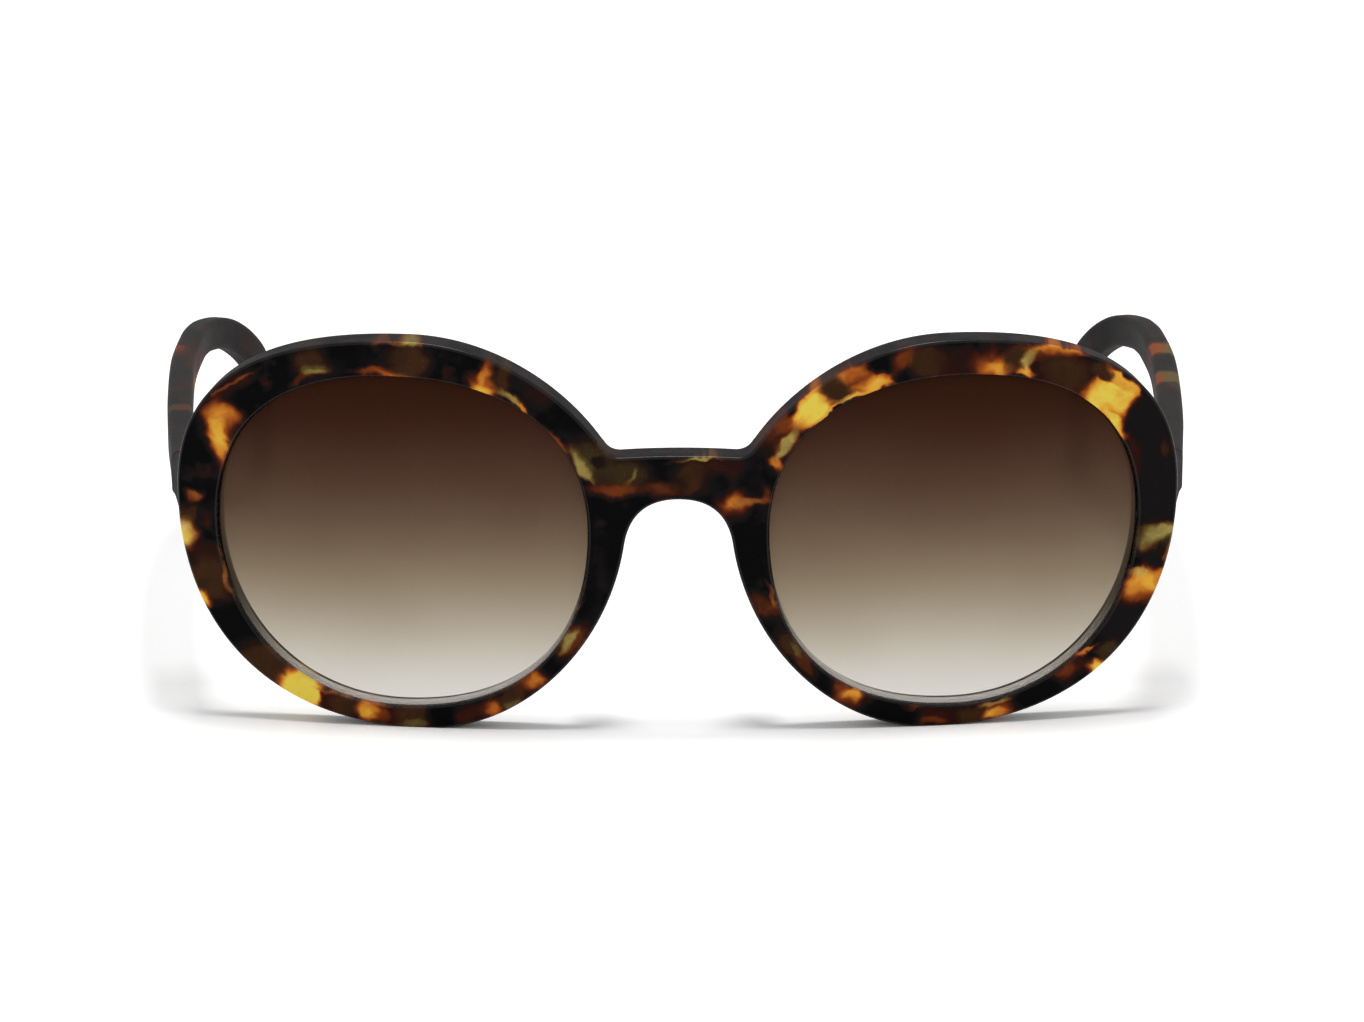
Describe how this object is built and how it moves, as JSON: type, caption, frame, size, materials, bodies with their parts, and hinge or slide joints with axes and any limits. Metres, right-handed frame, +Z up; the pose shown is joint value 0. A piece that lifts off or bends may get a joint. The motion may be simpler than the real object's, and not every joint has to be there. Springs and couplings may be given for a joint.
{
  "type": "reading sunglasses",
  "caption": "Round reading sunglasses with a moulded tortoise front, brown gradient lenses and temples that fold on spring hinges.",
  "frame": {"origin": "middle of the footprint, on the surface the glasses stand on", "axes": "+X towards the wearer's left, which is the right of the picture; +Y from the lenses back along the temples; +Z up"},
  "size_m": [0.1542, 0.1468, 0.0584],
  "materials": {
    "frame": "matte printed tortoise: near-black brown with amber, yellow and olive patches",
    "lens": "polished, brown tint fading to nearly clear at the bottom",
    "steel": "turned stainless steel",
    "brass": "nickel silver, satin"
  },
  "bodies": {
    "front": {"front_frame": "frame", "right_lens": "lens", "right_hinge_leaf": "brass", "right_hinge_screw": "steel", "left_lens": "lens", "left_hinge_leaf": "brass", "left_hinge_screw": "steel"},
    "right_slider": {"right_hinge_slider": "steel", "right_rod_end_collar": "steel"},
    "right_side": {"right_temple": "frame", "right_spring_box": "brass", "right_stop_ring": "steel", "right_box_screw": "steel", "right_coil_spring": "steel"},
    "left_slider": {"left_hinge_slider": "steel", "left_rod_end_collar": "steel"},
    "left_side": {"left_temple": "frame", "left_spring_box": "brass", "left_stop_ring": "steel", "left_box_screw": "steel", "left_coil_spring": "steel"}
  },
  "joints": [
    {"name": "right_fold", "type": "hinge", "parent": "front", "child": "right_slider", "pos_m": [0.06714, -0.05843, 0.03531], "axis": [0, 0, 1], "range_deg": [0, 89]},
    {"name": "right_slide", "type": "slide", "parent": "right_slider", "child": "right_side", "axis": [0, 1, 0], "range_m": [0, 0.0015], "stiffness_N_per_m": 5000, "springref_m": -0.0004, "deforming": ["right_coil_spring"]},
    {"name": "left_fold", "type": "hinge", "parent": "front", "child": "left_slider", "pos_m": [-0.06714, -0.05843, 0.03531], "axis": [0, 0, -1], "range_deg": [0, 80]},
    {"name": "left_slide", "type": "slide", "parent": "left_slider", "child": "left_side", "axis": [0, 1, 0], "range_m": [0, 0.0015], "stiffness_N_per_m": 5000, "springref_m": -0.0004, "deforming": ["left_coil_spring"]}
  ]
}
